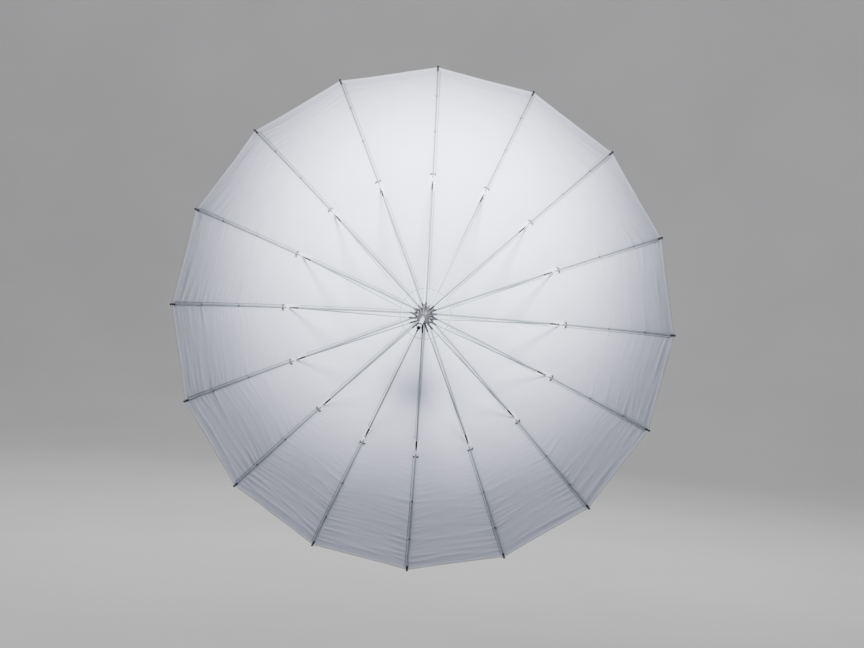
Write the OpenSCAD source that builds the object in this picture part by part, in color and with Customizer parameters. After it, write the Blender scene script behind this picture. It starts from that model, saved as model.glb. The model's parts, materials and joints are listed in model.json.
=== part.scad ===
// Umbrella reflector: a deep white photographic umbrella with sixteen ribs on an 8 mm shaft.
// Millimetres. The shaft lies along Y with the canopy's apex towards +Y and its open side towards -Y.
// Z is up. The origin is on the shaft's axis, in the middle of the length that a light's socket clamps.
// Rib 1 points straight up, and the numbers run clockwise as seen from the open side.

/* [Canopy] */
// Radius from the shaft to the end of a rib's rod
rim_radius = 520; // [400:1:650]
// Depth from the rib hinges to the rim
canopy_depth = 378; // [250:1:450]
// How far a rib turns from its inner end to its tip, in degrees
rib_turn = 36; // [20:1:50]
// Thickness of the two-layer cloth
cloth_thickness = 0.8; // [0.5:0.1:2]
// Radius of the doubled cloth round the apex
patch_radius = 57; // [30:1:90]
// Width of the hem at the rim
hem_width = 12; // [5:1:25]

/* [Ribs and stretchers] */
// Radius of a rib's rod
rib_rod_r = 1.75; // [1.5:0.05:2.2]
// Radius of a stretcher's rod
stretcher_rod_r = 1.4; // [1.2:0.05:1.8]
// Distance from a rib's centreline in to its stretcher's pivot
pivot_offset = 5; // [4:0.1:8]
// Length of the clamp that carries the stretcher
clamp_length = 25; // [18:1:35]
// How far a tip cap stands past the rod's end
tip_overhang = 5; // [3:0.5:10]

/* [Shaft] */
// Radius of the shaft
shaft_r = 4; // [3.5:0.05:5]
// Radius of the shaft's bore
bore_r = 2.9; // [2.4:0.05:3.4]
// Half of the length that a light's socket can clamp
clamp_half = 44; // [30:1:60]
// Distance from the origin to the rib hinges
hinge_z = 718; // [700:1:760]

/* [Hubs] */
// Radius of the circle that the rib eyes and the stretcher eyes sit on
hinge_r = 11; // [10.5:0.1:13]
// Radius of a slotted crown
crown_r = 13; // [12.9:0.1:15]
// Half the height of a slotted crown
crown_half = 2.7; // [2:0.1:3]
// Length of the runner's sleeve below its pivots
runner_sleeve = 32; // [20:1:33]
// Radius of the wire rings
wire_r = 0.7; // [0.5:0.05:0.8]

/* [Output] */
// Which sub-part to draw

/* [Hidden] */
count = 16;
step = 360 / count;
half = step / 2;
eps = 0.01;

// The rib's arc in its own plane: x is the radius from the shaft and z runs along the shaft
chord = sqrt(pow(rim_radius - hinge_r, 2) + pow(canopy_depth, 2));
chord_slope = atan2(canopy_depth, rim_radius - hinge_r);
hub_slope = chord_slope - rib_turn / 2;
arc_r = chord / (2 * sin(rib_turn / 2));
arc_x = hinge_r - arc_r * sin(hub_slope);
arc_z = hinge_z - arc_r * cos(hub_slope);
rib_length = arc_r * rib_turn * PI / 180;
function turned(s) = s / arc_r * 180 / PI;
function slope(s) = hub_slope + turned(s);
function along(s, out = 0) = [
    arc_x + (arc_r + out) * sin(slope(s)),
    arc_z + (arc_r + out) * cos(slope(s)),
];

// The stretcher is as long as its pivot is far from the rib hinge, so the runner slides without turning
pivot_s = rib_length / 2;
pivot = along(pivot_s, -pivot_offset);
stretcher_length = norm(pivot - [hinge_r, hinge_z]);
stretcher_rise = atan2(hinge_z - pivot[1], pivot[0] - hinge_r);
runner_z = 2 * pivot[1] - hinge_z;

// Fittings
eye_r = 2;
eye_hole_r = 0.85;
eye_thick = 2;
tang_height = 3.6;
slot_width = 2.3;
slot_floor_r = 8.7;
fitting_r = 2.1;
fitting_start = 4;
rib_fitting_end = 16;
inner_fitting_end = 22;
outer_fitting_length = 20.5;
rod_inset = 9;
wire_gap = 0.05;
clamp_r = 2.5;
ear_thick = 1.2;
ear_r = 2.4;
ear_half = 3;
ear_side = slot_width / 2 + ear_thick;
rivet_r = 0.8;
rivet_head_r = 1.5;
rivet_head = 0.5;
tab_length = 5;
tip_r = 2.3;
tip_cover = 8;
tie_positions = [84, 187];
tie_length = 3;

// Cloth, measured outwards from a rib's centreline
cloth_in = 2.7;
cloth_out = cloth_in + cloth_thickness;
patch_extra = 0.3;
hem_extra = 0.4;
cloth_start = 4;
cloth_pieces = 16;
seam_gap = 0.3;

// Shaft furniture
shaft_top = hinge_z + 14;
groove_width = 2;
groove_r = 3.3;
slot_top = runner_z - runner_sleeve + 0.6;
catch_top = runner_z - runner_sleeve - 0.3;
catch_arm = 22;
catch_pin_z = catch_top - catch_arm;
slot_bottom = catch_pin_z - 3;
catch_slot = 2.4;

$fn = 32;

function label(kind, i) = str(kind, "_", i < 10 ? "0" : "", i);
function labels(kind) = [for (i = [1:count]) label(kind, i)];

// Stands the internal frame, with the shaft along +Z, into the part's frame
module upright() rotate([-90, 0, 0]) children();

// Turns a piece drawn in the plane y = 0 to its place round the shaft, counted from the top rib
module at_place(i) upright() rotate([0, 0, -90 + step * (i - 1)]) children();

// Puts x along a line that falls by the given slope from a point of the rib's plane
module on_line(point, fall) translate([point[0], 0, point[1]]) rotate([0, fall, 0]) children();

module rod(r, from, to) translate([from, 0, 0]) rotate([0, 90, 0]) cylinder(r = r, h = to - from);

module cross_pin(r, length) rotate([90, 0, 0]) cylinder(r = r, h = length, center = true);

module plate(from, to, thick, height)
    translate([from, -thick / 2, -height / 2]) cube([to - from, thick, height]);

// A round bar that follows the rib's arc
module arc_bar(r, from, to)
    translate([arc_x, 0, arc_z]) rotate([90, 0, 0]) rotate([0, 0, 90 - slope(to)])
        rotate_extrude(angle = turned(to - from), $fn = 360)
            translate([arc_r, 0]) circle(r = r, $fn = 24);

// An eye, its tang and a barrel moulded on a rod, along +x from the eye's centre
module eye_fitting(end) difference() {
    union() {
        cross_pin(eye_r, eye_thick);
        plate(0, fitting_start + 1, eye_thick, tang_height);
        rod(fitting_r, fitting_start, end);
    }
    cross_pin(eye_hole_r, eye_thick + 1);
}

// The clamp round a rib's rod, with two ears that hold the stretcher's outer eye on a rivet
module clamp() {
    difference() {
        union() {
            arc_bar(clamp_r, pivot_s - clamp_length / 2, pivot_s + clamp_length / 2);
            on_line(along(pivot_s), slope(pivot_s)) {
                translate([-ear_half, -ear_side, -pivot_offset])
                    cube([2 * ear_half, 2 * ear_side, pivot_offset]);
                translate([0, 0, -pivot_offset]) cross_pin(ear_r, 2 * ear_side);
                translate([clamp_length / 2 - 2, -1.5, -clamp_r - 1])
                    cube([tab_length + 2, 3, 1.6]);
            }
        }
        on_line(along(pivot_s), slope(pivot_s))
            translate([-2 * ear_half, -slot_width / 2, -2 * pivot_offset])
                cube([4 * ear_half, slot_width, 2 * pivot_offset - clamp_r]);
    }
    on_line(along(pivot_s, -pivot_offset), slope(pivot_s)) {
        cross_pin(rivet_r, 2 * ear_side);
        for (side = [-1, 1]) translate([0, side * (ear_side + rivet_head / 2), 0])
            cross_pin(rivet_head_r, rivet_head + eps);
    }
}

module tip_cap() on_line(along(rib_length), slope(rib_length - tip_cover / 2)) {
    rod(tip_r, -tip_cover, tip_overhang);
    translate([tip_overhang, 0, 0]) sphere(r = tip_r);
}

module rib(i) at_place(i) {
    color("#d9ded6") arc_bar(rib_rod_r, rod_inset, rib_length);
    color("#1c1c1e") for (s = tie_positions)
        arc_bar(rib_rod_r + 0.4, rib_length - s - tie_length / 2, rib_length - s + tie_length / 2);
    color("#2a2a2c") on_line([hinge_r, hinge_z], slope(rod_inset / 2)) eye_fitting(rib_fitting_end);
    color("#e6e6e2") clamp();
    color("#151517") tip_cap();
}

module stretcher(i) at_place(i) on_line([hinge_r, runner_z], -stretcher_rise) {
    color("#d9ded6") rod(stretcher_rod_r, rod_inset, stretcher_length - rod_inset);
    color("#19191b") eye_fitting(inner_fitting_end);
    color("#19191b") translate([stretcher_length, 0, 0]) rotate([0, 180, 0])
        eye_fitting(outer_fitting_length);
}

// Cloth between two ribs: flat across, curved along, and cut on the planes of its ribs
module gore(i) {
    patch_s = patch_radius - hinge_r;
    hem_s = rib_length - hem_width;
    stations = [for (k = [0:cloth_pieces]) cloth_start + (rib_length - cloth_start) * k / cloth_pieces];
    outer = concat(
        [for (s = stations) if (s < hem_s) along(s, cloth_out)],
        [along(hem_s, cloth_out), along(hem_s, cloth_out + hem_extra)],
        [along(rib_length, cloth_out + hem_extra)]
    );
    inner = concat(
        [along(cloth_start, cloth_in - patch_extra), along(patch_s, cloth_in - patch_extra)],
        [along(patch_s, cloth_in)],
        [for (s = stations) if (s > patch_s + 5) along(s, cloth_in)]
    );
    outline = concat(inner, [for (k = [len(outer) - 1:-1:0]) outer[k]]);
    reach = rim_radius + 40;
    wedge = seam_gap / 2 / sin(half);
    color("#f4f4f2") at_place(i + 0.5) intersection() {
        rotate([90, 0, 0]) linear_extrude(height = 2 * reach * tan(half), center = true)
            polygon([for (p = outline) [p[0] * cos(half), p[1]]]);
        translate([0, 0, hinge_z - canopy_depth - 20])
            linear_extrude(height = canopy_depth + 40)
                polygon([
                    [wedge, 0],
                    [reach, -(reach - wedge) * tan(half)],
                    [reach, (reach - wedge) * tan(half)],
                ]);
    }
}

// A crown with a slot for each eye and a ring-shaped hole for the wire, centred on its pivots
module crown(hole_r) difference() {
    cylinder(r = crown_r, h = 2 * crown_half, center = true);
    cylinder(r = hole_r, h = 4 * crown_half, center = true);
    for (i = [0:count - 1]) rotate([0, 0, i * step])
        translate([slot_floor_r, -slot_width / 2, -2 * crown_half])
            cube([crown_r, slot_width, 4 * crown_half]);
    rotate_extrude($fn = 96) translate([hinge_r, 0]) circle(r = wire_r + wire_gap);
}

module sleeve(outer, hole, from, to) translate([0, 0, from]) difference() {
    cylinder(r = outer, h = to - from);
    translate([0, 0, -1]) cylinder(r = hole, h = to - from + 2);
}

module wire_ring() color("#a9abad") rotate_extrude($fn = 96) translate([hinge_r, 0]) circle(r = wire_r);

module notch() color("#1a1a1c") upright() translate([0, 0, hinge_z]) {
    crown(shaft_r + 0.03);
    sleeve(6.5, shaft_r + 0.03, -16, -crown_half + eps);
}

module notch_wire() upright() translate([0, 0, hinge_z]) wire_ring();

module runner() color("#1a1a1c") upright() translate([0, 0, runner_z]) {
    crown(shaft_r + 0.08);
    sleeve(7.2, shaft_r + 0.08, -runner_sleeve + 2, -crown_half + eps);
    sleeve(9.5, shaft_r + 0.08, -runner_sleeve, -runner_sleeve + 2 + eps);
    sleeve(6.8, shaft_r + 0.08, crown_half - eps, 10);
}

module runner_wire() upright() translate([0, 0, runner_z]) wire_ring();

module shaft_tube() color("#b9bcc0") upright() difference() {
    translate([0, 0, -clamp_half]) cylinder(r = shaft_r, h = shaft_top + clamp_half);
    translate([0, 0, -clamp_half - 1]) cylinder(r = bore_r, h = shaft_top + clamp_half + 2);
    sleeve(shaft_r + 1, groove_r, clamp_half, clamp_half + groove_width);
    translate([-catch_slot / 2, -2 * shaft_r, slot_bottom])
        cube([catch_slot, 2 * shaft_r, slot_top - slot_bottom]);
    translate([0, 0, catch_pin_z]) rotate([0, 90, 0]) cylinder(r = 0.75, h = 4 * shaft_r, center = true);
}

module end_plug() color("#151517") upright() {
    translate([0, 0, -clamp_half - 4]) cylinder(r1 = 2.6, r2 = 3.4, h = 1.2);
    translate([0, 0, -clamp_half - 2.8]) cylinder(r = 3.4, h = 2.75);
    translate([0, 0, -clamp_half - 1]) cylinder(r = bore_r - 0.05, h = 15);
}

module stop_clip() color("#1d1d1f") upright() difference() {
    sleeve(6, groove_r + 0.05, clamp_half + 0.1, clamp_half + groove_width - 0.1);
    translate([-2.6, 0, clamp_half - 1]) cube([5.2, 10, groove_width + 2]);
}

module ferrule() color("#151517") upright() difference() {
    union() {
        translate([0, 0, hinge_z + 4]) cylinder(r = 8, h = 3);
        translate([0, 0, hinge_z + 6]) cylinder(r = 6.5, h = 9);
        translate([0, 0, hinge_z + 15]) intersection() {
            sphere(r = 6.5);
            cylinder(r = 7, h = 7);
        }
    }
    translate([0, 0, hinge_z]) cylinder(r = shaft_r + 0.05, h = 14.1);
}

module apex_disc() color("#1b1b1d") upright() sleeve(20, shaft_r + 0.3, hinge_z + 2.9, hinge_z + 3.9);

// A flat lever in the shaft's slot: square towards the runner, sloped towards the free end
module catch() color("#c3c5c8") upright() translate([0, 0, catch_pin_z]) rotate([90, 0, -90])
    difference() {
        linear_extrude(height = 2, center = true) polygon([
            [-1.6, -1.8], [1.6, -1.8], [2.4, 2], [6.6, catch_arm - 4], [6.6, catch_arm],
            [0.8, catch_arm], [-0.2, 8], [-1.6, 1.8],
        ]);
        cylinder(r = 0.75, h = 4, center = true);
    }

module catch_pin() color("#a9abad") upright() translate([0, 0, catch_pin_z]) rotate([0, 90, 0])
    cylinder(r = 0.7, h = 2 * shaft_r - 0.1, center = true);

// A bent leaf between the bore's far wall and the lever's back
module catch_spring() color("#a9abad") upright() translate([0, 0, catch_pin_z]) rotate([90, 0, -90])
    linear_extrude(height = 1.6, center = true) polygon([
        [-2.7, 3], [-2.4, 3], [-1.9, 14], [-0.1, 17], [-0.3, 17.2], [-2.2, 14.2],
    ]);

shaft_tube();
end_plug();
stop_clip();
notch();
notch_wire();
ferrule();
apex_disc();
runner();
runner_wire();
catch();
catch_pin();
catch_spring();
for (i = [1:count]) {
    rib(i);
    stretcher(i);
    gore(i);
}
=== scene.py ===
"""A deep white umbrella reflector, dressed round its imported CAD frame. Metres, shaft along Y, Z up."""

import json
import math
import random

import bmesh
import bpy
from mathutils import Matrix, Vector, noise


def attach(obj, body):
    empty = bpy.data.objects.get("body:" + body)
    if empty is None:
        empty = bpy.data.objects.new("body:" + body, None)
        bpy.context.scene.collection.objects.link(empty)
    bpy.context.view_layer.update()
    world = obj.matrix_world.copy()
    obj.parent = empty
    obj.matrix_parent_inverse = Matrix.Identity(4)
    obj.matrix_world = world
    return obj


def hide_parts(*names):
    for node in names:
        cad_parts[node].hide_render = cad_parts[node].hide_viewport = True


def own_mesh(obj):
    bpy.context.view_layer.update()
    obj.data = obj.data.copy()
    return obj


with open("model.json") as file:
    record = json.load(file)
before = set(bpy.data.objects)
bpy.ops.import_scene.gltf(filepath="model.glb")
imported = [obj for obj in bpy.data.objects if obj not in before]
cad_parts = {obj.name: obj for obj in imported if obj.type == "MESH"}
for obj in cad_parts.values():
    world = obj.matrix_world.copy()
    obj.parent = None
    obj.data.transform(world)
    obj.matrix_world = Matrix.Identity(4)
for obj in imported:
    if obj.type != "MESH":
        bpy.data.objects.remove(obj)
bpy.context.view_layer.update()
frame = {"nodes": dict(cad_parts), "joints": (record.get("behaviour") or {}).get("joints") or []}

# ------------------------------------------------------------------ dimensions

COUNT = 16                      # ribs, stretchers and gores
STEP = 2 * math.pi / COUNT      # the angle from one rib to the next
HALF = STEP / 2

# The frame's own pivots
joints = {j["name"]: j for j in frame["joints"]}
rib_hinge = Vector(joints["fold"]["pos_m"])
HINGE_R, HINGE_Y = rib_hinge.z, rib_hinge.y
pivot = Vector(joints["fold_stretcher_01"]["pos_m"])
PIVOT_R, PIVOT_Y = pivot.z, pivot.y
RUNNER_Y = Vector(joints["runner_slide"]["pos_m"]).y

# The sizes that the pieces below share with the CAD nodes
RIM_R = 0.520                   # the ribs' ends, from the shaft
DEPTH = 0.378                   # from the rim to the rib hinges
RIB_TURN = math.radians(36)     # how far a rib turns along its arc
PIVOT_OFFSET = 0.005            # the stretcher's pivot, inside the rib's centreline
CLOTH_IN = 0.0027               # the cloth's two faces, outside the rib's centreline
CLOTH_OUT = 0.0035
PATCH_R = 0.057                 # the round patch that doubles the cloth at the apex
RIB_R = 0.00175
STRETCHER_R = 0.0014
ROD_INSET = 0.009               # from a pivot to the end of its rod
TIES = (0.084, 0.187)           # the ties, back from the rib's end

# A rib's arc: its radius, its slope at the hinge, its centre in the rib's plane, and its length
chord_slope = math.atan2(DEPTH, RIM_R - HINGE_R)
ARC_R = math.hypot(RIM_R - HINGE_R, DEPTH) / (2 * math.sin(RIB_TURN / 2))
HUB_SLOPE = chord_slope - RIB_TURN / 2
ARC_X = HINGE_R - ARC_R * math.sin(HUB_SLOPE)
ARC_Y = HINGE_Y - ARC_R * math.cos(HUB_SLOPE)
RIB_LENGTH = ARC_R * RIB_TURN
PIVOT_S = RIB_LENGTH / 2        # the clamp sits halfway along the rib
STRETCHER_LENGTH = math.hypot(PIVOT_R - HINGE_R, HINGE_Y - PIVOT_Y)
STRETCHER_RISE = math.atan2(HINGE_Y - PIVOT_Y, PIVOT_R - HINGE_R)


def slope(s):
    """How far the rib falls at s along it, in radians from the plane of the rim."""
    return HUB_SLOPE + s / ARC_R


def along(s, out=0.0):
    """(radius, height along the shaft) at s along a rib, out metres outside its centreline."""
    return ARC_X + (ARC_R + out) * math.sin(slope(s)), ARC_Y + (ARC_R + out) * math.cos(slope(s))


def bearing(i, between=0.0):
    """The angle of rib i round the shaft, from +X towards +Z. The ribs count clockwise from the top."""
    return math.pi / 2 - STEP * (i - 1 + between)


def turned(angle):
    """Turns a piece made in the plane of +X and +Y to its place round the shaft."""
    return Matrix.Rotation(-angle, 4, "Y")


# ------------------------------------------------------------------ materials
# Tones are a darker and a lighter colour, and rough is the range of roughness. Weave and lines are texture
# scales: the higher, the finer the threads or the drawn lines.


class Nodes:
    """A material's node tree, with short calls for the nodes used here. Keyword arguments are the shader's
    own sockets, with _ for a space."""

    def __init__(self, name, **surface):
        self.material = bpy.data.materials.new(name)
        self.material.use_nodes = True
        self.tree = self.material.node_tree
        self.bsdf = self.tree.nodes["Principled BSDF"]
        for socket, value in surface.items():
            self.bsdf.inputs[socket.replace("_", " ")].default_value = value
        self.place = self.add("ShaderNodeTexCoord").outputs["Object"]

    def add(self, kind, **settings):
        node = self.tree.nodes.new(kind)
        for key, value in settings.items():
            setattr(node, key, value)
        return node

    def link(self, a, b):
        self.tree.links.new(a, b)

    def scaled(self, scale):
        node = self.add("ShaderNodeMapping")
        node.inputs["Scale"].default_value = scale
        self.link(self.place, node.inputs["Vector"])
        return node.outputs[0]

    def noise(self, scale, detail=4.0, stretch=(1, 1, 1), roughness=0.5):
        node = self.add("ShaderNodeTexNoise")
        node.inputs["Scale"].default_value = scale
        node.inputs["Detail"].default_value = detail
        node.inputs["Roughness"].default_value = roughness
        self.link(self.scaled(stretch), node.inputs["Vector"])
        return node.outputs["Fac"]

    def ramp(self, fac, stops):
        node = self.add("ShaderNodeValToRGB")
        band = node.color_ramp
        while len(band.elements) < len(stops):
            band.elements.new(0.5)
        for element, (at, colour) in zip(band.elements, stops):
            element.position = at
            element.color = (*colour, 1)
        self.link(fac, node.inputs[0])
        return node.outputs["Color"]

    def spread(self, fac, low, high):
        node = self.add("ShaderNodeMapRange")
        node.inputs["To Min"].default_value = low
        node.inputs["To Max"].default_value = high
        self.link(fac, node.inputs["Value"])
        return node.outputs[0]

    def maths(self, operation, a, b):
        node = self.add("ShaderNodeMath", operation=operation)
        for socket, value in zip(node.inputs, (a, b)):
            if isinstance(value, (int, float)):
                socket.default_value = value
            else:
                self.link(value, socket)
        return node.outputs[0]

    def bump(self, height, strength, distance):
        node = self.add("ShaderNodeBump")
        node.inputs["Strength"].default_value = strength
        node.inputs["Distance"].default_value = distance
        self.link(height, node.inputs["Height"])
        self.link(node.outputs[0], self.bsdf.inputs["Normal"])

    def colour(self, output):
        self.link(output, self.bsdf.inputs["Base Color"])

    def rough(self, output):
        self.link(output, self.bsdf.inputs["Roughness"])


def cloth_material(name, tones, sheen, rough, weave):
    """A fine plain weave with slight slubs and handling marks. Its threads are waves along all three axes,
    so they show however the cloth lies."""
    m = Nodes(name, Sheen_Weight=sheen, Sheen_Roughness=0.4, Specular_IOR_Level=0.35)
    waves = []
    for axis in ("X", "Y", "Z"):
        wave = m.add("ShaderNodeTexWave", wave_type="BANDS", bands_direction=axis, wave_profile="SIN")
        wave.inputs["Scale"].default_value = weave
        wave.inputs["Distortion"].default_value = 0.6
        wave.inputs["Detail"].default_value = 1.0
        m.link(m.place, wave.inputs["Vector"])
        waves.append(wave.outputs["Fac"])
    threads = m.maths("MULTIPLY", m.maths("ADD", waves[0], waves[1]), waves[2])
    slubs = m.noise(900, 3)
    cloud = m.noise(9, 5, stretch=(1, 1.6, 1), roughness=0.6)
    m.colour(m.ramp(cloud, ((0.3, tones[0]), (0.72, tones[1]))))
    m.rough(m.spread(m.noise(60, 4), *rough))
    m.bump(m.maths("ADD", m.maths("MULTIPLY", threads, 0.5), slubs), 0.28, 0.00025)
    return m.material


def rod_material():
    """Pulled fibreglass: grey and faintly green, mottled by its fibres, under a clear resin skin."""
    m = Nodes("fibreglass_rod", Coat_Weight=0.35, Coat_Roughness=0.18, IOR=1.5)
    fibres = m.noise(520, 5, roughness=0.7)
    blotch = m.noise(38, 3)
    both = m.maths("ADD", m.maths("MULTIPLY", fibres, 0.6), m.maths("MULTIPLY", blotch, 0.4))
    m.colour(m.ramp(
        both, ((0.3, (0.19, 0.23, 0.21)), (0.52, (0.26, 0.30, 0.28)), (0.75, (0.34, 0.38, 0.36)))))
    m.rough(m.spread(fibres, 0.32, 0.5))
    m.bump(fibres, 0.15, 0.0001)
    return m.material


def plastic_material(name, dark, light, rough):
    """Moulded plastic with a fine spark-eroded grain and slightly polished high spots."""
    m = Nodes(name, Specular_IOR_Level=0.5)
    wear = m.noise(130, 5, roughness=0.65)
    m.colour(m.ramp(wear, ((0.35, dark), (0.7, light))))
    m.rough(m.spread(wear, rough[1], rough[0]))
    m.bump(m.noise(1500, 3), 0.12, 0.00012)
    return m.material


def metal_material(name, tones, rough, lines, direction):
    """Drawn metal: fine lines along the axis with this number, and faint handling marks."""
    m = Nodes(name, Metallic=1.0)
    stretch = tuple(0.02 if axis == direction else 1.0 for axis in range(3))
    drawn = m.noise(lines, stretch=stretch, roughness=0.6)
    marks = m.noise(45, 5)
    m.colour(m.ramp(marks, ((0.3, tones[0]), (0.7, tones[1]))))
    both = m.maths("ADD", m.maths("MULTIPLY", drawn, 0.6), m.maths("MULTIPLY", marks, 0.4))
    m.rough(m.spread(both, *rough))
    m.bump(drawn, 0.12, 0.00008)
    return m.material


def thread_material(name, dark, light):
    """Spun thread: a fine mix of bright and dark strands."""
    m = Nodes(name, Sheen_Weight=0.3)
    strands = m.noise(2600, 2)
    m.colour(m.ramp(strands, ((0.35, dark), (0.65, light))))
    m.rough(m.spread(strands, 0.6, 0.85))
    m.bump(strands, 0.4, 0.0001)
    return m.material


CLOTH_WHITE = cloth_material(
    "canopy_white", ((0.70, 0.70, 0.79), (0.77, 0.77, 0.85)), 0.25, (0.42, 0.6), 520)
CLOTH_BLACK = cloth_material(
    "canopy_black", ((0.012, 0.012, 0.014), (0.022, 0.022, 0.025)), 0.15, (0.6, 0.8), 520)
HEM_WHITE = cloth_material(
    "hem_tape", ((0.90, 0.90, 0.92), (0.95, 0.95, 0.96)), 0.3, (0.5, 0.65), 700)
PIPING = thread_material("apex_binding", (0.10, 0.10, 0.11), (0.2, 0.2, 0.22))
GUARD_END = cloth_material(
    "guard_binding", ((0.06, 0.06, 0.065), (0.11, 0.11, 0.115)), 0.2, (0.5, 0.65), 700)
# Painted shadow: this grey goes on the seam's free edge and stands for each rib's shadow on the cloth beside
# it.
SEAM_EDGE_PAINTED_SHADOW = thread_material("seam_edge_painted_shadow", (0.14, 0.15, 0.16), (0.27, 0.29, 0.30))
STITCH = thread_material("white_thread", (0.72, 0.72, 0.74), (0.86, 0.86, 0.87))
TIE_THREAD = thread_material("tie_thread", (0.02, 0.02, 0.022), (0.07, 0.07, 0.075))
ROD = rod_material()
BLACK = plastic_material("black_nylon", (0.012, 0.012, 0.013), (0.03, 0.03, 0.032), (0.32, 0.5))
CLAMP = plastic_material("pale_nylon", (0.72, 0.73, 0.72), (0.84, 0.84, 0.83), (0.35, 0.5))
GREY = plastic_material("grey_nylon", (0.2, 0.2, 0.21), (0.3, 0.3, 0.31), (0.4, 0.55))
TUBE = metal_material("shaft_aluminium", ((0.66, 0.67, 0.69), (0.76, 0.77, 0.79)), (0.22, 0.38), 900, 1)
WIRE = metal_material("spring_steel", ((0.5, 0.5, 0.52), (0.66, 0.66, 0.68)), (0.2, 0.36), 1400, 1)
RIVET = metal_material("rivet_steel", ((0.55, 0.55, 0.56), (0.7, 0.7, 0.71)), (0.24, 0.4), 1200, 2)
DISC = cloth_material("apex_leatherette", ((0.02, 0.02, 0.022), (0.04, 0.04, 0.043)), 0.1, (0.55, 0.7), 300)

for node, material in {
    "shaft_tube": TUBE, "end_plug": BLACK, "stop_clip": BLACK, "notch": BLACK, "notch_wire": WIRE,
    "ferrule": BLACK, "apex_disc": DISC, "runner": BLACK, "runner_wire": WIRE, "catch": WIRE,
    "catch_pin": WIRE, "catch_spring": WIRE,
}.items():
    obj = frame["nodes"][node]
    obj.data.materials.clear()
    obj.data.materials.append(material)

# ------------------------------------------------------------------ mesh building


def piece(name, bm, materials, smooth=math.radians(40)):
    """Makes an object of a bmesh, smooth but for its sharp edges, and frees the bmesh."""
    bmesh.ops.recalc_face_normals(bm, faces=bm.faces)
    mesh = bpy.data.meshes.new(name)
    bm.to_mesh(mesh)
    bm.free()
    for material in materials:
        mesh.materials.append(material)
    for face in mesh.polygons:
        face.use_smooth = True
    mesh.set_sharp_from_angle(angle=smooth)
    obj = bpy.data.objects.new(name, mesh)
    bpy.context.scene.collection.objects.link(obj)
    return obj


def copy_of(source, name, matrix):
    """A second object on the same mesh, placed by this matrix."""
    obj = bpy.data.objects.new(name, source.data)
    bpy.context.scene.collection.objects.link(obj)
    obj.matrix_world = matrix
    return obj


def ring(bm, centre, u, v, radius, sides):
    """Vertices on a circle round centre, in the plane of the directions u and v."""
    angles = (2 * math.pi * j / sides for j in range(sides))
    return [bm.verts.new(centre + radius * (math.cos(a) * u + math.sin(a) * v)) for a in angles]


def skin(bm, rings):
    """Faces from each ring of vertices to the next, and over both ends."""
    sides = len(rings[0])
    for a, b in zip(rings, rings[1:]):
        for j in range(sides):
            bm.faces.new((a[j], a[(j + 1) % sides], b[(j + 1) % sides], b[j]))
    for end in (rings[0], rings[-1]):
        bm.faces.new(end)


def tube(bm, path, radii, sides=12, side=Vector((0, 0, 1))):
    """A round tube through the points of path, closed at both ends. side is never along the path."""
    rings = []
    for k, point in enumerate(path):
        ahead = (path[min(k + 1, len(path) - 1)] - path[max(k - 1, 0)]).normalized()
        u = ahead.cross(side).normalized()
        rings.append(ring(bm, point, u, ahead.cross(u), radii[k], sides))
    skin(bm, rings)


def turned_part(bm, start, ahead, profile, side=Vector((0, 0, 1))):
    """A turned shape along ahead from start. profile is [(distance, radius)]."""
    u = ahead.cross(side).normalized()
    v = ahead.cross(u)
    skin(bm, [ring(bm, start + ahead * d, u, v, r, 20) for d, r in profile])


def plate(bm, outline, low, high, bevel, hole=None):
    """A flat plate with this outline in the plane of +X and +Y, from z low to z high, with softened edges.
    hole is (x, y, radius), and has a side for each point of the outline."""
    made = bmesh.new()
    layers = []
    for z in (low, high):
        outer = [made.verts.new((x, y, z)) for x, y in outline]
        inner = []
        if hole:
            hx, hy, hr = hole
            for x, y in outline:
                away = Vector((x - hx, y - hy)).normalized() * hr
                inner.append(made.verts.new((hx + away.x, hy + away.y, z)))
        layers.append((outer, inner))
    n = len(outline)
    for j in range(n):
        k = (j + 1) % n
        for pair in range(2 if hole else 1):
            a, b = layers[0][pair], layers[1][pair]
            made.faces.new((a[j], a[k], b[k], b[j]))
        if hole:
            for outer, inner in layers:
                made.faces.new((outer[j], outer[k], inner[k], inner[j]))
    if not hole:
        for outer, _ in layers:
            made.faces.new(outer)
    bmesh.ops.recalc_face_normals(made, faces=made.faces)
    sharp = [e for e in made.edges if e.calc_face_angle(0) > math.radians(50)]
    bmesh.ops.bevel(made, geom=sharp, offset=bevel, segments=2, affect="EDGES", clamp_overlap=True)
    join(bm, made)


def join(bm, made):
    """Adds the bmesh made to bm, and frees it."""
    verts = {v: bm.verts.new(v.co) for v in made.verts}
    for face in made.faces:
        bm.faces.new([verts[v] for v in face.verts])
    made.free()


def close_sheet(bm, layers, face, side, ends):
    """Faces on both layers of a sheet, and between them all round its edge. The layers are rows of vertices.
    Material slots: face(row, column, layer), side(row, column), and one for each end."""
    inner, outer = layers
    rows, columns = len(inner) - 1, len(inner[0]) - 1
    for layer, grid in enumerate(layers):
        for a in range(rows):
            for b in range(columns):
                quad = bm.faces.new((grid[a][b], grid[a][b + 1], grid[a + 1][b + 1], grid[a + 1][b]))
                quad.material_index = face(a, b, layer)
    for a in range(rows):
        for b in (0, columns):
            quad = bm.faces.new((inner[a][b], inner[a + 1][b], outer[a + 1][b], outer[a][b]))
            quad.material_index = side(a, b)
    for a, slot in zip((0, rows), ends):
        for b in range(columns):
            quad = bm.faces.new((inner[a][b], inner[a][b + 1], outer[a][b + 1], outer[a][b]))
            quad.material_index = slot


def line_frame(point, fall):
    """The matrix that puts +X along a line that falls by this angle, from a point in the rib's plane."""
    return Matrix.Translation((point[0], point[1], 0)) @ Matrix.Rotation(-fall, 4, "Z")


# ------------------------------------------------------------------ ribs

EYE_R = 0.002                   # the fitting's eye, its pin hole, and the barrel with grip rings
EYE_HOLE_R = 0.00085
BARREL_R = 0.0021
GRIP_R = 0.00188
GRIPS = 3


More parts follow.
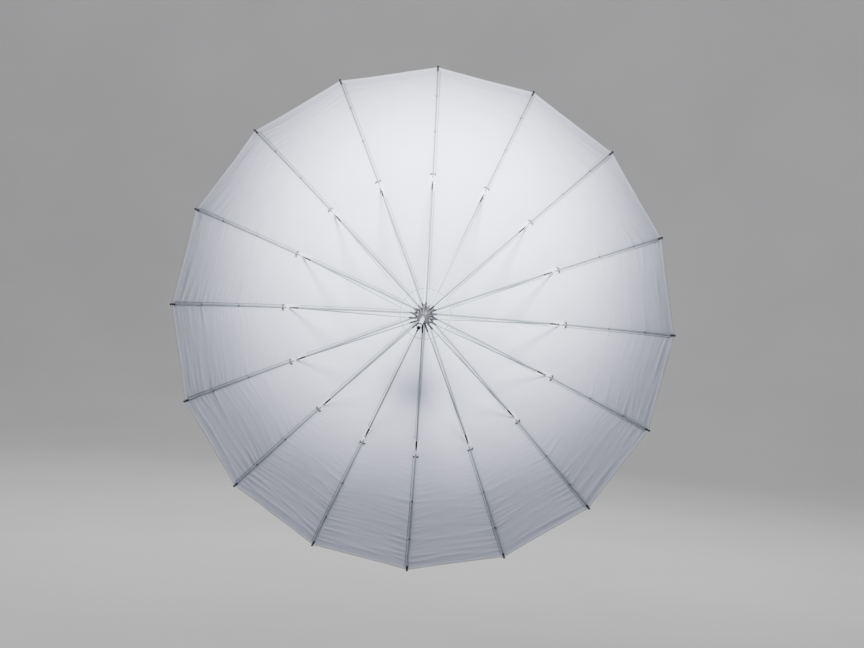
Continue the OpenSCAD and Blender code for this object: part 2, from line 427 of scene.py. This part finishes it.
def eye_and_barrel(bm, length):
    """A fitting along +X: an eye at the origin, a flat tang, and a ringed barrel that holds a rod."""
    outline = [
        (EYE_R * math.cos(a), EYE_R * math.sin(a))
        for a in (math.radians(64 + 232 * k / 18) for k in range(19))
    ]
    outline += [(0.0052, -0.0018), (0.0052, 0.0018)]
    plate(bm, outline, -0.001, 0.001, bevel=0.0002, hole=(0, 0, EYE_HOLE_R))
    profile = [(0.0040, 0.0013), (0.0041, 0.0017), (0.0047, BARREL_R), (0.0056, BARREL_R)]
    for k in range(GRIPS):
        at = 0.0072 + k * 0.0016
        profile += [(at, BARREL_R), (at + 0.0002, GRIP_R), (at + 0.0007, GRIP_R), (at + 0.0009, BARREL_R)]
    profile += [(length - 0.0016, BARREL_R), (length - 0.0004, 0.0019), (length, 0.00165)]
    turned_part(bm, Vector((0, 0, 0)), Vector((1, 0, 0)), profile)


def arc_path(start, end, count):
    """Points along a rib's centreline from start to end."""
    return [Vector((*along(start + (end - start) * k / (count - 1)), 0)) for k in range(count)]


def rib_rod():
    """The curved fibreglass rod, from the eye's barrel to just inside the tip cap."""
    bm = bmesh.new()
    path = arc_path(ROD_INSET, RIB_LENGTH - 0.0005, 90)
    tube(bm, path, [RIB_R] * len(path), sides=14)
    return piece("rib_rod", bm, [ROD])


def rib_eye():
    """The rib's inner fitting, whose eye turns on the notch's wire."""
    bm = bmesh.new()
    eye_and_barrel(bm, length=0.016)
    obj = piece("rib_eye", bm, [BLACK])
    obj.data.transform(line_frame((HINGE_R, HINGE_Y), slope(ROD_INSET / 2)))
    return obj


def tip_cap():
    """A small moulded cap over the rib's end, with a neck for the hem and a round nose."""
    bm = bmesh.new()
    nose = [
        (0.005 + 0.0023 * math.sin(a), 0.0023 * math.cos(a))
        for a in (math.radians(-38 + 126 * k / 9) for k in range(10))
    ]
    profile = [(-0.008, 0.00182), (-0.0078, 0.0021), (-0.0072, 0.0023), (-0.0012, 0.0023),
               (-0.0006, 0.002), (0.0006, 0.0018), (0.0022, 0.0017)] + nose
    turned_part(bm, Vector((0, 0, 0)), Vector((1, 0, 0)), profile)
    obj = piece("tip_cap", bm, [BLACK], smooth=math.radians(50))
    obj.data.transform(line_frame(along(RIB_LENGTH), slope(RIB_LENGTH - 0.004)))
    return obj


def clamp():
    """The pale clamp on the rib: a sleeve with rolled ends, a saddle and two ears. Its short grey tab is
    made by clamp_tab.
    """
    bm = bmesh.new()
    half = 0.0125
    steps = 21
    rolled_end = (0.0019, 0.00238, 0.0025, 0.00242, 0.00232)
    radii = [rolled_end[min(k, steps - 1 - k, len(rolled_end) - 1)] for k in range(steps)]
    tube(bm, arc_path(PIVOT_S - half, PIVOT_S + half, steps), radii, sides=18)
    ear_r = 0.0024
    ear = [(-0.003, -0.0006)]
    ear += [
        (ear_r * math.cos(a), -PIVOT_OFFSET + ear_r * math.sin(a))
        for a in (math.radians(172 + 196 * k / 16) for k in range(17))
    ]
    ear += [(0.003, -0.0006)]
    saddle = [(-0.0046, -0.0016), (-0.0034, -0.0026), (0.0034, -0.0026), (0.0046, -0.0016), (0.0046, 0.0004),
              (-0.0046, 0.0004)]
    flat = bmesh.new()
    for low, high in ((-0.00235, -0.00115), (0.00115, 0.00235)):
        plate(flat, ear, low, high, bevel=0.00025)
    plate(flat, saddle, -0.0019, 0.0019, bevel=0.0004)
    bmesh.ops.transform(flat, matrix=line_frame(along(PIVOT_S), slope(PIVOT_S)), verts=flat.verts)
    join(bm, flat)
    return piece("rib_clamp", bm, [CLAMP])


def clamp_tab():
    """The clamp's short grey tab, on the side away from the shaft."""
    bm = bmesh.new()
    tongue = [(0.0098, -0.0021), (0.0112, -0.0036), (0.0162, -0.0039), (0.0171, -0.0034), (0.0171, -0.0028),
              (0.0160, -0.0024), (0.0118, -0.0020)]
    plate(bm, tongue, -0.0015, 0.0015, bevel=0.00025)
    obj = piece("clamp_tab", bm, [GREY])
    obj.data.transform(line_frame(along(PIVOT_S), slope(PIVOT_S)))
    return obj


def clamp_rivet():
    """The rivet through the clamp's ears and the stretcher's eye, with a dome at each end."""
    bm = bmesh.new()
    dome = [(0.0, 0.0006), (0.0001, 0.0011), (0.0003, 0.00145), (0.0005, 0.0015)]
    width = 0.0057
    profile = dome + [(0.00055, 0.0008), (width - 0.00055, 0.0008)]
    profile += [(width - d, r) for d, r in reversed(dome)]
    turned_part(bm, Vector((0, 0, -width / 2)), Vector((0, 0, 1)), profile, side=Vector((1, 0, 0)))
    obj = piece("clamp_rivet", bm, [RIVET])
    obj.data.transform(line_frame(along(PIVOT_S, -PIVOT_OFFSET), slope(PIVOT_S)))
    return obj


def tie(number, back):
    """Thread wound round the rib and through the cloth's seam, with a small knot."""
    bm = bmesh.new()
    turns, per_turn = 5, 14
    winding = 0.0022
    wide = RIB_R + 0.00028
    middle = RIB_LENGTH - back
    path = []
    for k in range(turns * per_turn + 1):
        angle = 2 * math.pi * k / per_turn
        s = middle + winding * (k / (turns * per_turn) - 0.5)
        reach = wide + 0.00045 * max(0.0, math.cos(angle)) ** 2
        x, y = along(s, reach * math.cos(angle))
        path.append(Vector((x, y, wide * math.sin(angle))))
    tube(bm, path, [0.00026] * len(path), sides=6, side=Vector((0.31, 0.17, 0.93)))
    x, y = along(middle, -RIB_R - 0.0004)
    knot = [
        Vector((x + 0.0006 * math.cos(a), y, 0.0007 * math.sin(a) * math.cos(a) + 0.0003 * math.sin(3 * a)))
        for a in (2 * math.pi * k / 16 for k in range(17))
    ]
    tube(bm, knot, [0.00024] * len(knot), sides=6, side=Vector((0.1, 0.98, 0.15)))
    return piece(f"rib_tie_{number}", bm, [TIE_THREAD])


# ------------------------------------------------------------------ stretchers


def stretcher_line():
    """The matrix that puts +X along a stretcher, from its eye on the runner."""
    return line_frame((HINGE_R, RUNNER_Y), -STRETCHER_RISE)


def stretcher_rod():
    """The straight fibreglass rod between the stretcher's two fittings."""
    bm = bmesh.new()
    steps = 40
    rod = STRETCHER_LENGTH - 2 * ROD_INSET
    path = [Vector((ROD_INSET + rod * k / steps, 0, 0)) for k in range(steps + 1)]
    tube(bm, path, [STRETCHER_R] * len(path))
    obj = piece("stretcher_rod", bm, [ROD])
    obj.data.transform(stretcher_line())
    return obj


def stretcher_fitting(name, length, far):
    """The fitting at the runner's end of a stretcher, or at its far end."""
    bm = bmesh.new()
    eye_and_barrel(bm, length)
    obj = piece(name, bm, [BLACK])
    if far:
        obj.data.transform(Matrix.Translation((STRETCHER_LENGTH, 0, 0)) @ Matrix.Rotation(math.pi, 4, "Z"))
    obj.data.transform(stretcher_line())
    return obj


patterns = {
    "rib": [rib_rod(), rib_eye(), tip_cap(), clamp(), clamp_tab(), clamp_rivet()]
           + [tie(k + 1, back) for k, back in enumerate(TIES)],
    "stretcher": [stretcher_rod(), stretcher_fitting("stretcher_inner_end", 0.022, False),
                  stretcher_fitting("stretcher_outer_end", 0.0205, True)],
}
for kind, shapes in patterns.items():
    for i in range(1, COUNT + 1):
        body = f"{kind}_{i:02d}"
        for k, shape in enumerate(shapes):
            obj = copy_of(shape, f"{shape.name}_{i:02d}", turned(bearing(i)))
            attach(obj, body)
            if k == 0:
                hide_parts(body)
    for shape in shapes:
        bpy.data.objects.remove(shape)

# ------------------------------------------------------------------ the canopy

SLACK = 0.0045                  # how far the cloth stands in halfway between two ribs
CLOTH_START = 0.004             # the gore's point, along the rib
WRINKLE_FROM = 0.42             # the share of the rib from where the cloth wrinkles
COLUMNS = 24
BINDING = 0.0055                # the hem's width
BEND = 0.0004                   # the step from the cloth up to the hem
CLOTH_THICK = 0.0004            # one layer of cloth in a seam or a pad


def smoothstep(low, high, x):
    """0 below low, 1 above high, and a smooth rise between them."""
    t = min(1.0, max(0.0, (x - low) / (high - low)))
    return t * t * (3 - 2 * t)


def cloth_rows():
    """Stations along the gore: wide apart near the apex, close together where the cloth wrinkles."""
    rows = [CLOTH_START]
    while rows[-1] < RIB_LENGTH - BINDING - 0.003:
        share = rows[-1] / RIB_LENGTH
        rows.append(rows[-1] + (0.0026 if share > WRINKLE_FROM else 0.0062))
    return rows + [RIB_LENGTH - BINDING - BEND, RIB_LENGTH - BINDING, RIB_LENGTH - BINDING / 2,
                   RIB_LENGTH - 0.0006, RIB_LENGTH]


def cloth_columns():
    """Places across the gore from -1 to 1, closer together towards its ribs."""
    even = (2 * k / COLUMNS - 1 for k in range(COLUMNS + 1))
    return [math.sin(math.pi / 2 * u) * 0.35 + u * 0.65 for u in even]


def half_width(s):
    """Half of a gore's width at s along its ribs."""
    return along(s, CLOTH_IN)[0] * math.sin(HALF)


class Wrinkles:
    """The creases of one gore: short ones that leave each rib, one at each tie, and one beside the hem."""

    def __init__(self, seed):
        self.seed = seed
        pick = random.Random(seed)
        # Each crease: where it leaves the rib, its tilt, height, half width, and reach across the gore
        self.creases = {-1: [], 1: []}
        for side in (-1, 1):
            s = RIB_LENGTH * pick.uniform(0.5, 0.56)
            while s < RIB_LENGTH - 0.014:
                near_tip = smoothstep(0.55, 0.97, s / RIB_LENGTH)
                self.creases[side].append((
                    s,
                    pick.uniform(-0.22, 0.16),
                    pick.uniform(0.0004, 0.0011) + 0.0011 * near_tip * pick.random(),
                    pick.uniform(0.0024, 0.004),
                    pick.uniform(0.016, 0.034) + 0.022 * near_tip,
                ))
                s += pick.uniform(0.008, 0.019) - 0.004 * near_tip
            for back in TIES:
                self.creases[side].append((
                    RIB_LENGTH - back, pick.uniform(-0.12, 0.12), pick.uniform(0.0014, 0.0022), 0.0036,
                    pick.uniform(0.022, 0.042)))
        # The crease beside the hem: where along the rib, its height, its middle across, and its spread
        self.hem = (
            RIB_LENGTH - pick.uniform(0.02, 0.03), pick.uniform(0.0010, 0.0016), pick.uniform(-0.5, 0.5),
            pick.uniform(0.03, 0.06))

    def depth(self, s, u):
        """How far the cloth stands in towards the shaft at s along and u across."""
        wide = half_width(s)
        total = 0.0
        for side, creases in self.creases.items():
            edge = wide * (1 - side * u)
            if edge > 0.16:
                continue
            for at, tilt, height, width, reach in creases:
                off = (s - at - tilt * edge) / width
                if abs(off) < 3:
                    rise = math.exp(-off * off) * math.exp(-edge / reach) * smoothstep(0, 0.006, edge)
                    total += height * rise
        at, height, middle, spread = self.hem
        off = (s - at - 0.004 * u * u) / 0.0042
        along_hem = (u - middle) * wide / spread
        total += height * math.exp(-off * off) * math.exp(-along_hem * along_hem)
        # Slow and fine unevenness of the whole cloth
        place = Vector((u * wide * 9, s * 6, self.seed * 7.3))
        inside = (1 - u * u) * smoothstep(0.02, 0.2, s)
        total += 0.0011 * inside * noise.noise(place)
        total += 0.00035 * inside * noise.noise(place * 4.1)
        return total


def slack(s, u):
    """How far the cloth stands in between its two ribs, at s along and u across."""
    full = math.sin(math.pi * min(1.0, s / RIB_LENGTH) ** 0.9)
    return SLACK * (1 - u * u) * (0.25 + 0.75 * full) * smoothstep(0, 0.09, s)


def cloth_point(s, u, out, depth):
    """A point of a gore, drawn round +X: out metres outside the rib's centreline, pressed in by depth."""
    r, y = along(s, out)
    fall = slope(s)
    inward = depth + slack(s, u)
    return Vector((
        r * math.cos(HALF) - inward * math.sin(fall),
        y - inward * math.cos(fall),
        u * r * math.sin(HALF),
    ))


def gore_cloth(i, wrinkles):
    """One gore as a closed sheet: white inside, black outside, bound along the rim, doubled at the apex."""
    bm = bmesh.new()
    rows, columns = cloth_rows(), cloth_columns()
    layers = []
    for layer in (0, 1):
        grid = []
        for s in rows:
            line = []
            bound = smoothstep(RIB_LENGTH - BINDING - BEND, RIB_LENGTH - BINDING, s)
            for u in columns:
                edge = half_width(s) * (1 - abs(u))
                if layer == 0:
                    radius = along(s)[0] * math.hypot(math.cos(HALF), u * math.sin(HALF))
                    lining = 0.0005 * (1 - smoothstep(PATCH_R - 0.001, PATCH_R + 0.001, radius))
                    out = CLOTH_IN + 0.0001 - lining - 0.0003 * bound
                else:
                    seam = 0.0002 * (1 - smoothstep(0.004, 0.0045, edge))
                    out = CLOTH_OUT - 0.0003 + seam + 0.0004 * bound
                if s > RIB_LENGTH - 0.0001:
                    out = (CLOTH_IN + CLOTH_OUT) / 2 + (0.00025 if layer else -0.00025)
                line.append(bm.verts.new(cloth_point(s, u, out, wrinkles.depth(s, u))))
            grid.append(line)
        layers.append(grid)
    bound_from = next(k for k, s in enumerate(rows) if s > RIB_LENGTH - BINDING - 1.1 * BEND)
    close_sheet(bm, layers, lambda a, b, layer: 2 if a >= bound_from else layer, lambda a, b: 1, (1, 2))
    return piece(f"gore_cloth_{i:02d}", bm, [CLOTH_WHITE, CLOTH_BLACK, HEM_WHITE], smooth=math.radians(60))


def gore_binding(i, wrinkles):
    """The dark cord round the apex patch, laid on the inside of one gore."""
    bm = bmesh.new()
    path = []
    steps = 12
    for k in range(steps + 1):
        u = 2 * k / steps - 1
        r = PATCH_R / math.hypot(math.cos(HALF), u * math.sin(HALF))
        low, high = 0.0, 0.2
        for _ in range(30):  # halves the stretch of rib that holds this radius
            middle = (low + high) / 2
            low, high = (middle, high) if along(middle)[0] < r else (low, middle)
        path.append(cloth_point(low, u, CLOTH_IN - 0.0004, wrinkles.depth(low, u)))
    tube(bm, path, [0.0006] * len(path), sides=8, side=Vector((0, 1, 0)))
    return piece(f"apex_binding_{i:02d}", bm, [PIPING])


def gore_seam(i, wrinkles):
    """The seam's turned-in edge on this gore, beside its first rib. Its free edge is painted dark grey as
    painted shadow: it stands for the rib's shadow cast on the cloth beside it.
    """
    bm = bmesh.new()
    rows = [s for s in cloth_rows() if PATCH_R - HINGE_R + 0.002 < s < RIB_LENGTH - BINDING - 0.001]
    across = (0.0003, 0.0020, 0.0036, 0.0048, 0.0054, 0.0060)
    layers = []
    for thick in (CLOTH_THICK, 0.0):
        grid = []
        for n, s in enumerate(rows):
            line = []
            for edge in across:
                u = 1 - edge / half_width(s)
                ripple = 0.0001 * (n % 2) if edge > 0.005 else 0.0
                lift = 0.00035 * smoothstep(0.003, 0.006, edge) + ripple
                out = CLOTH_IN + 0.00005 - thick - lift
                line.append(bm.verts.new(cloth_point(s, u, out, wrinkles.depth(s, u))))
            grid.append(line)
        layers.append(grid)
    # Painted shadow: the outer columns of the seam strip take the grey that stands for the rib's shadow on
    # the cloth.
    painted_shadow_from = len(across) - 3
    close_sheet(bm, layers, lambda a, b, layer: int(b >= painted_shadow_from), lambda a, b: int(b > 0), (0, 0))
    return piece(f"gore_seam_{i:02d}", bm, [CLOTH_WHITE, SEAM_EDGE_PAINTED_SHADOW])


def gore_stitches(i, wrinkles):
    """Two rows of hem stitches, one on each side of the cloth: short threads, sunk at their ends."""
    bm = bmesh.new()
    s = RIB_LENGTH - BINDING + 0.0012
    pitch = 0.0034
    count = int(2 * half_width(s) / pitch)
    for out, sign in ((CLOTH_IN - 0.00022, -1), (CLOTH_OUT + 0.00012, 1)):
        for k in range(count):
            places = [-0.92 + 1.84 * (k + e) / count for e in (0.12, 0.5, 0.88)]
            path = [cloth_point(s, u, out + lift * sign, wrinkles.depth(s, u))
                    for u, lift in zip(places, (-0.0001, 0.00012, -0.0001))]
            tube(bm, path, [0.00014, 0.0002, 0.00014], sides=5, side=Vector((0.4, 1, 0)))
    return piece(f"hem_stitches_{i:02d}", bm, [STITCH])


GUARD_HALF = 0.0070             # half of the pad's width
GUARD_BACK = 0.0260             # its reach from the pivot towards the apex, and towards the rim
GUARD_AHEAD = 0.0200


def joint_guard():
    """The small white cloth pad between a rib's clamp and the canopy, with a grey bound end. It lies on the
    seam and spreads over the gores on both sides, and its corners curl in a little."""
    bm = bmesh.new()
    steps, across = 22, 12
    layers = []
    for thick in (CLOTH_THICK, 0.0):
        grid = []
        for k in range(steps + 1):
            s = PIVOT_S - GUARD_BACK + (GUARD_BACK + GUARD_AHEAD) * k / steps
            line = []
            for j in range(across + 1):
                edge = GUARD_HALF * (2 * j / across - 1)
                u = 1 - abs(edge) / half_width(s)
                curl = 0.0024 * abs(edge / GUARD_HALF) ** 3 * (0.35 + abs(2 * k / steps - 1) ** 2)
                out = CLOTH_IN - 0.0001 - thick - slack(s, u) - curl
                r, y = along(s, out)
                line.append(bm.verts.new((r - abs(edge) * math.sin(HALF), y, edge * math.cos(HALF))))
            grid.append(line)
        layers.append(grid)
    bound_from = steps - 2
    close_sheet(
        bm, layers, lambda a, b, layer: int(a >= bound_from), lambda a, b: int(a >= bound_from), (0, 1))
    return piece("joint_guard", bm, [HEM_WHITE, GUARD_END])


guard = joint_guard()
for i in range(1, COUNT + 1):
    angle = bearing(i)
    obj = copy_of(guard, f"joint_guard_{i:02d}", turned(angle))
    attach(obj, f"rib_{i:02d}")
    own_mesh(obj)
bpy.data.objects.remove(guard)

for i in range(1, COUNT + 1):
    angle = bearing(i, 0.5)
    wrinkles = Wrinkles(i)
    cloth = gore_cloth(i, wrinkles)
    trim = [gore_binding(i, wrinkles), gore_seam(i, wrinkles), gore_stitches(i, wrinkles)]
    for obj in [cloth] + trim:
        obj.matrix_world = turned(angle)
        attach(obj, f"gore_{i:02d}")
        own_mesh(obj)
    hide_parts(f"gore_{i:02d}")

# ------------------------------------------------------------------ floor, light and camera


def studio_floor(height, flat, sweep, top):
    """A round floor that sweeps up into a wall all round, so no horizon shows from any side."""
    profile = [(flat / 2, 0.0)]
    profile += [
        (flat + sweep * math.sin(a), sweep * (1 - math.cos(a)))
        for a in (math.pi / 2 * k / 24 for k in range(25))
    ]
    profile.append((flat + sweep, top))
    bm = bmesh.new()
    segments = 128
    middle = bm.verts.new((0, 0, 0))
    rings = [[
        bm.verts.new((r * math.cos(a), r * math.sin(a), z))
        for a in (2 * math.pi * j / segments for j in range(segments))
    ] for r, z in profile]
    for j in range(segments):
        bm.faces.new((middle, rings[0][j], rings[0][(j + 1) % segments]))
        for a, b in zip(rings, rings[1:]):
            bm.faces.new((a[j], a[(j + 1) % segments], b[(j + 1) % segments], b[j]))
    obj = piece("floor", bm, [])
    obj.location = (0, 0.3, height)
    return obj


floor = studio_floor(height=-0.95, flat=6.0, sweep=3.0, top=8.0)
floor_look = Nodes("floor_paint", Roughness=0.75)
floor_look.colour(floor_look.ramp(
    floor_look.noise(1.3, 3), ((0.35, (0.74, 0.74, 0.75)), (0.65, (0.78, 0.78, 0.79)))))
floor.data.materials.append(floor_look.material)


def lamp(name, kind, place, aim, power, colour=(1, 1, 1), **settings):
    """A lamp at place that points at aim and isn't seen itself."""
    light = bpy.data.lights.new(name, kind)
    light.energy = power
    light.color = colour
    for key, value in settings.items():
        setattr(light, key, value)
    obj = bpy.data.objects.new(name, light)
    obj.location = place
    obj.rotation_euler = (Vector(aim) - Vector(place)).to_track_quat("-Z", "Y").to_euler()
    obj.visible_camera = False
    bpy.context.scene.collection.objects.link(obj)


# The lamp that the umbrella reflects: just above the shaft, aimed at the upper part of the canopy
lamp("inside", "SPOT", (0.01, HINGE_Y - 0.49, 0.135), (0.01, HINGE_Y + 0.08, 0.235), 31, (0.93, 0.955, 1.0),
     spot_size=math.radians(164), spot_blend=1.0, shadow_soft_size=0.035)
lamp("above", "AREA", (-1.8, 1.8, 3.2), (0, 0.3, 0), 120, shape="DISK", size=3.0)
lamp("behind", "AREA", (1.8, 3.4, 2.2), (0, 0.5, 0), 45, shape="DISK", size=2.0)
lamp("backdrop", "AREA", (0, 3.0, 3.0), (0, 9.0, 1.0), 120, shape="DISK", size=3.0)

world = bpy.data.worlds.new("studio")
world.use_nodes = True
world.node_tree.nodes["Background"].inputs["Color"].default_value = (0.30, 0.30, 0.31, 1)
world.node_tree.nodes["Background"].inputs["Strength"].default_value = 0.35
bpy.context.scene.world = world

CAMERA_PLACE = (0.066, -3.685, 0.160)
YAW, DOWN, ROLL = math.radians(0.65), math.radians(2.38), math.radians(3.55)
camera = bpy.data.cameras.new("camera")
camera.lens = 81
camera.sensor_width = 36
viewer = bpy.data.objects.new("camera", camera)
aimed = Matrix.Rotation(YAW, 4, "Z") @ Matrix.Rotation(math.pi / 2 - DOWN, 4, "X")
viewer.matrix_world = Matrix.Translation(CAMERA_PLACE) @ aimed @ Matrix.Rotation(ROLL, 4, "Z")
bpy.context.scene.collection.objects.link(viewer)
bpy.context.scene.camera = viewer
